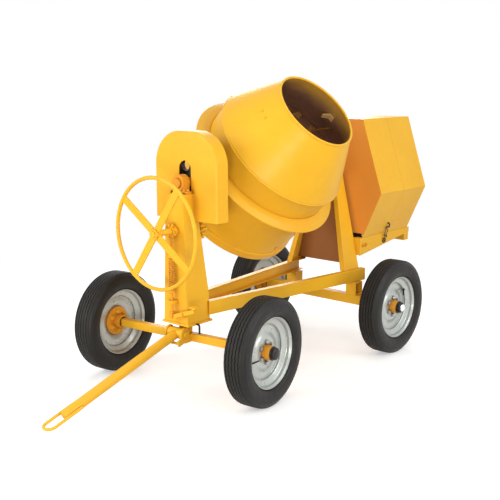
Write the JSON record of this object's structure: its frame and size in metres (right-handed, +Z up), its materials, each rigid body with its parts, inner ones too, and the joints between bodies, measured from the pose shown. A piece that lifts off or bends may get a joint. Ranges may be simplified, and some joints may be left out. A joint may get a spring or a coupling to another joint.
{
  "type": "concrete mixer",
  "caption": "Towable concrete mixer: a tilting toothed drum in a yoke on a steerable rubber-tyred chassis, tipped by a handwheel and driven by a hooded engine.",
  "frame": {"origin": "on the ground, at the middle of the footprint from the towing eye to the hinge of the engine hood", "axes": "+Z up, +Y from the drawbar to the engine, +X to the discharge side of the drum"},
  "size_m": [1.4318, 3.4817, 1.9806],
  "materials": {
    "yellow_paint": "glossy machine enamel",
    "rim_paint": "light grey wheel paint",
    "black_paint": "satin black",
    "engine_paint": "dull engine enamel",
    "machined_steel": "turned and oiled",
    "cast_iron": "greased casting",
    "tyre_rubber": "ribbed black rubber",
    "belt_rubber": "fabric-backed V belt"
  },
  "bodies": {
    "chassis": {"chassis_rails": "yellow_paint", "column": "yellow_paint", "column_base": "yellow_paint", "kingpin": "machined_steel", "rear_stand": "yellow_paint", "trunnion_bearings": "yellow_paint", "rear_axle": "yellow_paint", "axle_hangers": "yellow_paint", "gear_cover": "yellow_paint", "shaft_bearings": "yellow_paint", "rod_guides": "yellow_paint", "engine_bed": "yellow_paint", "engine": "engine_paint", "fuel_tank": "yellow_paint", "silencer": "black_paint", "drive_belts": "belt_rubber", "canopy_front": "yellow_paint", "return_spring": "yellow_paint"},
    "front_axle": {"front_axle": "yellow_paint", "drawbar_pin": "machined_steel"},
    "drawbar": {"drawbar": "yellow_paint", "drawbar_eye": "yellow_paint"},
    "handwheel": {"handwheel": "yellow_paint", "pinion_shaft": "machined_steel", "lock_disc": "yellow_paint"},
    "pedal": {"pedal": "yellow_paint"},
    "lock_rod": {"lock_rod": "yellow_paint"},
    "cradle": {"yoke": "yellow_paint", "trunnions": "machined_steel", "tilt_gear": "cast_iron", "drum_bearing": "yellow_paint"},
    "drum": {"drum_bowl": "yellow_paint", "drum_cone": "yellow_paint", "crown_band": "yellow_paint", "mixing_blades": "yellow_paint", "drum_shaft": "machined_steel"},
    "drive_shaft": {"drive_shaft": "machined_steel", "drive_pinion": "machined_steel", "drive_pulley": "black_paint"},
    "crankshaft": {"crankshaft": "machined_steel"},
    "canopy_rear": {"canopy_rear": "yellow_paint"},
    "latch": {"latch_bail": "machined_steel"},
    "wheel_front_right": {"tyre_front_right": "tyre_rubber", "rim_front_right": "rim_paint", "hub_front_right": "yellow_paint", "cap_front_right": "black_paint"},
    "wheel_front_left": {"tyre_front_left": "tyre_rubber", "rim_front_left": "rim_paint", "hub_front_left": "yellow_paint", "cap_front_left": "black_paint"},
    "wheel_rear_right": {"tyre_rear_right": "tyre_rubber", "rim_rear_right": "rim_paint", "hub_rear_right": "yellow_paint", "cap_rear_right": "black_paint"},
    "wheel_rear_left": {"tyre_rear_left": "tyre_rubber", "rim_rear_left": "rim_paint", "hub_rear_left": "yellow_paint", "cap_rear_left": "black_paint"}
  },
  "joints": [
    {"name": "steering", "type": "hinge", "parent": "chassis", "child": "front_axle", "pos_m": [0, -0.53006, 0.34], "axis": [0, 0, 1], "range_deg": [-31, 19]},
    {"name": "drawbar_lift", "type": "hinge", "parent": "front_axle", "child": "drawbar", "pos_m": [0.0093, -0.61857, 0.378], "axis": [-0.9945, -0.1045, 0], "range_deg": [0, 45]},
    {"name": "wheel_front_right_roll", "type": "hinge", "parent": "front_axle", "child": "wheel_front_right", "pos_m": [0.60666, -0.4663, 0.34], "axis": [0.9945, 0.1045, 0], "continuous": true},
    {"name": "wheel_front_left_roll", "type": "hinge", "parent": "front_axle", "child": "wheel_front_left", "pos_m": [-0.60666, -0.59382, 0.34], "axis": [0.9945, 0.1045, 0], "continuous": true},
    {"name": "wheel_rear_right_roll", "type": "hinge", "parent": "chassis", "child": "wheel_rear_right", "pos_m": [0.61, 0.97086, 0.34], "axis": [1, 0, 0], "continuous": true},
    {"name": "wheel_rear_left_roll", "type": "hinge", "parent": "chassis", "child": "wheel_rear_left", "pos_m": [-0.61, 0.97086, 0.34], "axis": [1, 0, 0], "continuous": true},
    {"name": "drum_tilt", "type": "hinge", "parent": "chassis", "child": "cradle", "pos_m": [0, 0.20086, 1.33], "axis": [0, 1, 0], "range_deg": [-108, 72]},
    {"name": "handwheel_turn", "type": "hinge", "parent": "chassis", "child": "handwheel", "pos_m": [0, -0.78006, 1.036], "axis": [0, 1, 0], "range_deg": [-180, 270]},
    {"name": "drum_spin", "type": "hinge", "parent": "cradle", "child": "drum", "pos_m": [0, 0.20086, 1.33], "axis": [0.7431, 0, 0.6691], "continuous": true},
    {"name": "drive_spin", "type": "hinge", "parent": "cradle", "child": "drive_shaft", "pos_m": [0, 0.20086, 1.33], "axis": [0, 1, 0], "continuous": true},
    {"name": "crank_spin", "type": "hinge", "parent": "chassis", "child": "crankshaft", "pos_m": [0, 1.36336, 1.018], "axis": [0, 1, 0], "continuous": true},
    {"name": "pedal_press", "type": "hinge", "parent": "chassis", "child": "pedal", "pos_m": [0.088, -0.64906, 0.518], "axis": [0, 1, 0], "range_deg": [0, 9], "stiffness_Nm_per_rad": 60, "springref_deg": -5.73},
    {"name": "lock_rod_slide", "type": "slide", "parent": "chassis", "child": "lock_rod", "axis": [0, 0, 1], "range_m": [0, 0.0151], "deforming": ["return_spring"]},
    {"name": "canopy_open", "type": "hinge", "parent": "chassis", "child": "canopy_rear", "pos_m": [0, 1.72686, 0.806], "axis": [-1, 0, 0], "range_deg": [0, 95]},
    {"name": "latch_swing", "type": "hinge", "parent": "chassis", "child": "latch", "pos_m": [0.293, 1.36486, 0.762], "axis": [0, 1, 0], "range_deg": [0, 100]}
  ],
  "couplings": [
    {"joint": "handwheel_turn", "follows": "drum_tilt", "ratio": -2.5},
    {"joint": "drive_spin", "follows": "drum_spin", "ratio": -8.6667},
    {"joint": "crank_spin", "follows": "drum_spin", "ratio": -27.444},
    {"joint": "lock_rod_slide", "follows": "pedal_press", "m_per_rad": 0.094118}
  ]
}
